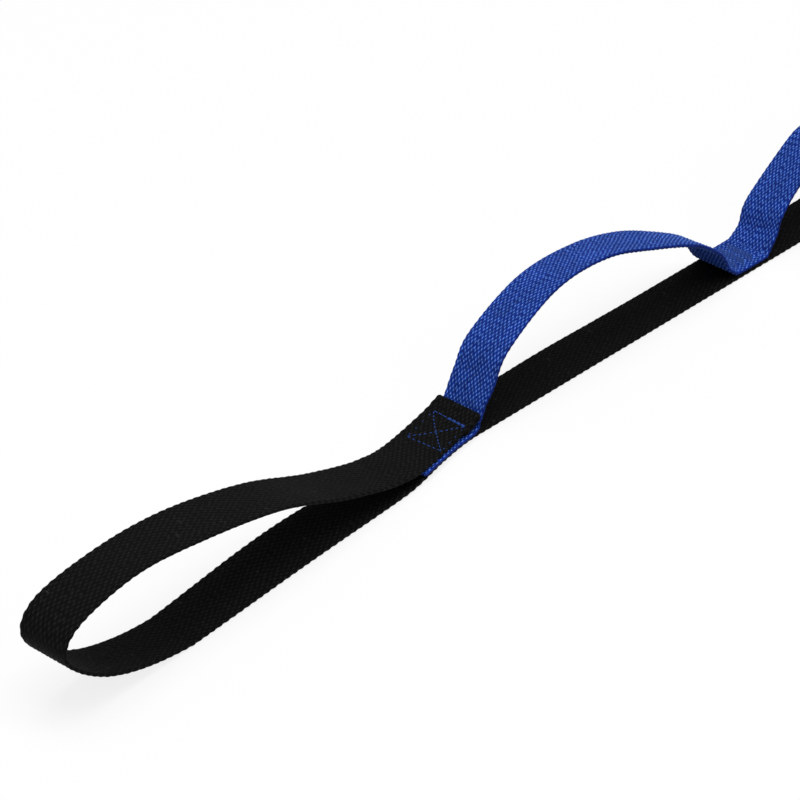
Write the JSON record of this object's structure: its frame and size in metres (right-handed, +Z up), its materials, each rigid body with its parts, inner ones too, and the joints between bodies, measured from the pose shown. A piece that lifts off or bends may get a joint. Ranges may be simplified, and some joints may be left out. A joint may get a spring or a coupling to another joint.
{
  "type": "gait belt",
  "caption": "Flat black webbing strap with raised blue webbing ladder loops sewn along it and a folded-back hand or foot loop with a boxed cross stitch at each end.",
  "frame": {"origin": "under the middle of the base strap, on the surface that it lies on", "axes": "+X along the strap towards end loop b, +Y across the webbing, +Z up, the side that the ladder loops are sewn on"},
  "size_m": [1.383, 0.0786, 0.0587],
  "materials": {
    "black_webbing": "matt woven",
    "blue_webbing": "matt woven",
    "blue_thread": "satin thread"
  },
  "bodies": {
    "end_a": {"end_loop_a": "black_webbing", "ladder_end_a": "blue_webbing", "box_stitch_a": "blue_thread"},
    "bay_1": {"base_strap_1": "black_webbing", "ladder_loop_1": "blue_webbing", "seam_stitch_1": "blue_thread"},
    "bay_2": {"base_strap_2": "black_webbing", "ladder_loop_2": "blue_webbing", "seam_stitch_2": "blue_thread"},
    "bay_3": {"base_strap_3": "black_webbing", "ladder_loop_3": "blue_webbing", "seam_stitch_3": "blue_thread"},
    "bay_4": {"base_strap_4": "black_webbing", "ladder_loop_4": "blue_webbing"},
    "end_b": {"end_loop_b": "black_webbing", "ladder_end_b": "blue_webbing", "box_stitch_b": "blue_thread"}
  },
  "joints": [
    {"name": "end_a_fold", "type": "hinge", "parent": "bay_1", "child": "end_a", "pos_m": [-0.406, 0, 0.001], "axis": [0, -1, 0], "range_deg": [-45, 75]},
    {"name": "bay_1_fold", "type": "hinge", "parent": "bay_2", "child": "bay_1", "pos_m": [-0.198, 0, 0.001], "axis": [0, 1, 0], "range_deg": [-75, 45]},
    {"name": "bay_3_fold", "type": "hinge", "parent": "bay_2", "child": "bay_3", "pos_m": [0.01, 0, 0.001], "axis": [0, 1, 0], "range_deg": [-45, 75]},
    {"name": "bay_4_fold", "type": "hinge", "parent": "bay_3", "child": "bay_4", "pos_m": [0.218, 0, 0.001], "axis": [0, -1, 0], "range_deg": [-75, 45]},
    {"name": "end_b_fold", "type": "hinge", "parent": "bay_4", "child": "end_b", "pos_m": [0.406, 0, 0.001], "axis": [0, 1, 0], "range_deg": [-45, 75]}
  ]
}
